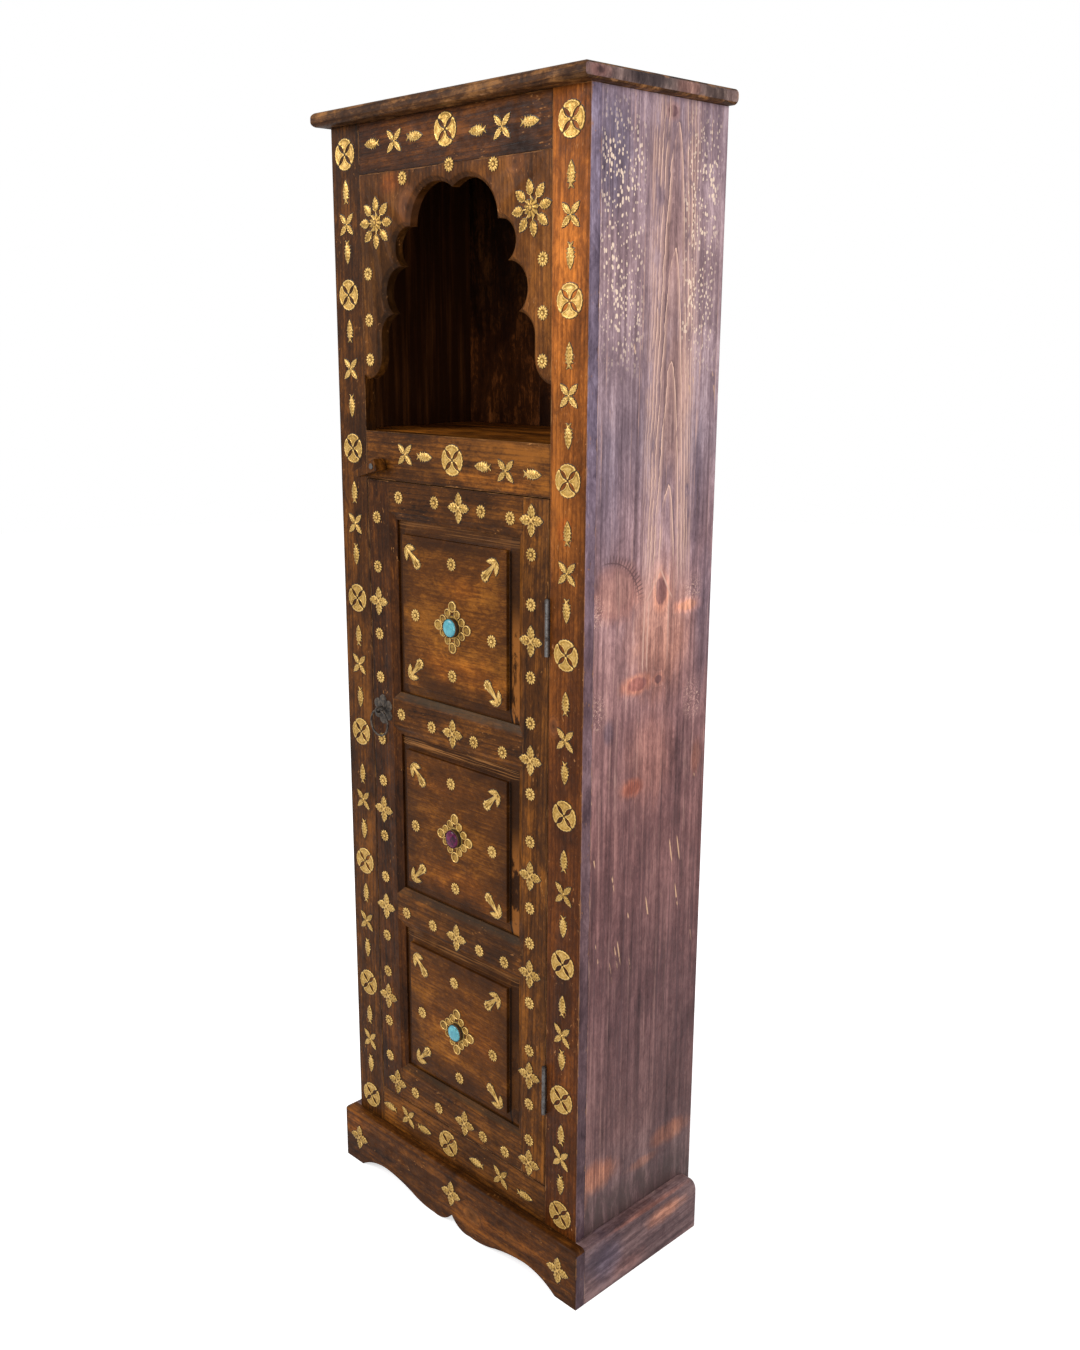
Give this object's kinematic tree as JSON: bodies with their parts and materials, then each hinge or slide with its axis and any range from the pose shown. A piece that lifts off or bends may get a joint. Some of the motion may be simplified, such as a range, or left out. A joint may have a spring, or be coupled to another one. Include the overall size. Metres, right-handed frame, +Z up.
{
  "type": "moroccan carved cabinet",
  "caption": "Tall narrow cupboard with an open niche behind a scalloped arch, a panelled door under it, brass ornaments, a turn button, a ring pull and a scalloped plinth.",
  "frame": {"origin": "on the floor, under the middle of the cabinet's box", "axes": "+X to the right as seen from the front, +Y to the back, +Z up"},
  "size_m": [0.578, 0.309, 1.8],
  "materials": {
    "carcass_wood": "stained and waxed",
    "inside_wood": "stained, dull",
    "frame_wood": "stained and waxed",
    "panel_wood": "stained and waxed",
    "button_wood": "stained and waxed",
    "brass": "engraved, aged",
    "hinge_steel": "plain, worn",
    "pull_iron": "dark, worn",
    "turquoise": "polished stone",
    "garnet": "polished stone"
  },
  "bodies": {
    "cabinet": {"left_side": "carcass_wood", "right_side": "carcass_wood", "top_board": "carcass_wood", "back_plank_left": "inside_wood", "back_plank_middle": "inside_wood", "back_plank_right": "inside_wood", "niche_floor": "inside_wood", "cabinet_floor": "inside_wood", "upper_shelf": "inside_wood", "lower_shelf": "inside_wood", "shelf_cleats": "inside_wood", "frame_left_stile": "frame_wood", "frame_right_stile": "frame_wood", "frame_top_rail": "frame_wood", "frame_middle_rail": "frame_wood", "frame_bottom_rail": "frame_wood", "arch_board": "frame_wood", "plinth_front": "frame_wood", "plinth_left": "frame_wood", "plinth_right": "frame_wood", "frame_discs": "brass", "frame_fish": "brass", "frame_crosses": "brass", "arch_rosettes": "brass", "arch_sunflowers": "brass", "plinth_stars": "brass", "upper_hinge_frame_leaf": "hinge_steel", "upper_hinge_pin": "hinge_steel", "lower_hinge_frame_leaf": "hinge_steel", "lower_hinge_pin": "hinge_steel", "frame_hinge_screws": "hinge_steel", "button_nail": "hinge_steel", "button_washer": "hinge_steel"},
    "door": {"door_left_stile": "frame_wood", "door_right_stile": "frame_wood", "door_top_rail": "frame_wood", "door_upper_rail": "frame_wood", "door_lower_rail": "frame_wood", "door_bottom_rail": "frame_wood", "door_upper_panel": "panel_wood", "door_middle_panel": "panel_wood", "door_lower_panel": "panel_wood", "upper_hinge_door_leaf": "hinge_steel", "lower_hinge_door_leaf": "hinge_steel", "door_hinge_screws": "hinge_steel", "pull_plate": "pull_iron", "pull_staple": "pull_iron", "door_stars": "brass", "door_rosettes": "brass", "panel_rosettes": "brass", "panel_tulips": "brass", "stone_flowers": "brass", "turquoise_stones": "turquoise", "garnet_stone": "garnet"},
    "turn_button": {"turn_button": "button_wood"},
    "pull_ring": {"pull_ring": "pull_iron"}
  },
  "joints": [
    {"name": "door_hinge", "type": "hinge", "parent": "cabinet", "child": "door", "pos_m": [0.20125, -0.1312, 0], "axis": [0, 0, 1], "range_deg": [0, 170]},
    {"name": "button_turn", "type": "hinge", "parent": "cabinet", "child": "turn_button", "pos_m": [-0.162, -0.1275, 1.276], "axis": [0, 1, 0], "continuous": true},
    {"name": "ring_swing", "type": "hinge", "parent": "door", "child": "pull_ring", "pos_m": [-0.1753, -0.137, 0.877], "axis": [-1, 0, 0], "range_deg": [-8, 165]}
  ]
}
